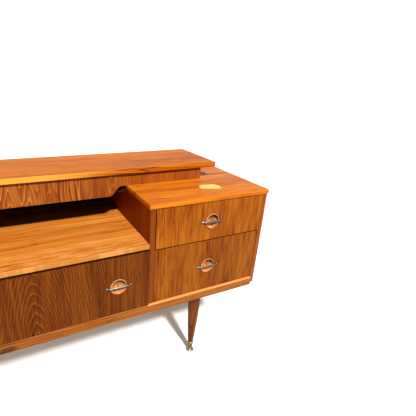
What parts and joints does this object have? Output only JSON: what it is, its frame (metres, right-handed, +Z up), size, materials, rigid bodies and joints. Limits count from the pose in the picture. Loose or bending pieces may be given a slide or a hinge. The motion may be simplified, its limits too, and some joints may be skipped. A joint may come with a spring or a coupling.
{
  "type": "vanity table with mirror",
  "caption": "Dressing table with drawer pedestals on tapered legs, a low centre top over a wide drawer, and a raised box whose lift-up lid carries a mirror.",
  "frame": {"origin": "on the floor, at the centre of the object's outline", "axes": "+X to the right-hand pedestal along the width, +Y to the back, +Z up; the drawers open towards -Y"},
  "size_m": [1.52, 0.449, 0.755],
  "materials": {
    "teak_case": "oiled teak veneer, grain up the sides",
    "teak_top": "oiled teak veneer, grain along the tops",
    "teak_front": "crown-cut teak veneer, grain up the fronts",
    "teak_solid": "solid teak, oiled",
    "beech": "plain sawn and sanded beech",
    "plywood": "thin plywood, unfinished",
    "brass": "worn polished brass",
    "nickel": "dull nickel plate with a warm tint",
    "mirror": "silvered glass",
    "paper": "blank cream paper"
  },
  "bodies": {
    "carcase": {"side_panel_left": "teak_case", "side_panel_right": "teak_case", "divider_left": "teak_case", "divider_right": "teak_case", "base_board": "beech", "base_rail": "teak_solid", "back_panel_left": "plywood", "back_panel_right": "plywood", "back_panel_centre": "plywood", "pedestal_top_left": "teak_top", "pedestal_top_right": "teak_top", "centre_top": "teak_top", "drawer_runners": "beech", "drawer_stops": "beech", "leg_bearers": "beech", "leg_studs": "nickel", "leg_front_left": "teak_solid", "leg_front_right": "teak_solid", "leg_rear_left": "teak_solid", "leg_rear_right": "teak_solid", "foot_ferrules": "brass", "apron_centre": "teak_front", "box_front_left": "teak_front", "box_front_right": "teak_front", "box_end_left": "teak_case", "box_end_right": "teak_case", "box_back": "teak_case", "well_partitions": "teak_case", "well_floor": "plywood", "hinge_leaves_fixed": "brass", "hinge_pins": "brass", "lid_stops": "brass", "paper_label": "paper"},
    "lid": {"mirror_lid": "teak_top", "hinge_leaves_moving": "brass", "mirror_glass": "mirror", "mirror_clips": "nickel", "clip_screws": "nickel"},
    "drawer_upper_left": {"front_upper_left": "teak_front", "tray_upper_left": "beech", "cup_upper_left": "teak_solid", "bar_upper_left": "nickel"},
    "drawer_upper_right": {"front_upper_right": "teak_front", "tray_upper_right": "beech", "cup_upper_right": "teak_solid", "bar_upper_right": "nickel"},
    "drawer_lower_left": {"front_lower_left": "teak_front", "tray_lower_left": "beech", "cup_lower_left": "teak_solid", "bar_lower_left": "nickel"},
    "drawer_lower_right": {"front_lower_right": "teak_front", "tray_lower_right": "beech", "cup_lower_right": "teak_solid", "bar_lower_right": "nickel"},
    "drawer_centre": {"front_centre": "teak_front", "tray_centre": "beech", "cups_centre": "teak_solid", "bars_centre": "nickel"}
  },
  "joints": [
    {"name": "lid_hinge", "type": "hinge", "parent": "carcase", "child": "lid", "pos_m": [0, 0.2201, 0.738], "axis": [-1, 0, 0], "range_deg": [0, 98]},
    {"name": "upper_left_drawer_slide", "type": "slide", "parent": "carcase", "child": "drawer_upper_left", "axis": [0, -1, 0], "range_m": [0, 0.3]},
    {"name": "upper_right_drawer_slide", "type": "slide", "parent": "carcase", "child": "drawer_upper_right", "axis": [0, -1, 0], "range_m": [0, 0.3]},
    {"name": "lower_left_drawer_slide", "type": "slide", "parent": "carcase", "child": "drawer_lower_left", "axis": [0, -1, 0], "range_m": [0, 0.3]},
    {"name": "lower_right_drawer_slide", "type": "slide", "parent": "carcase", "child": "drawer_lower_right", "axis": [0, -1, 0], "range_m": [0, 0.3]},
    {"name": "centre_drawer_slide", "type": "slide", "parent": "carcase", "child": "drawer_centre", "axis": [0, -1, 0], "range_m": [0, 0.3]}
  ]
}
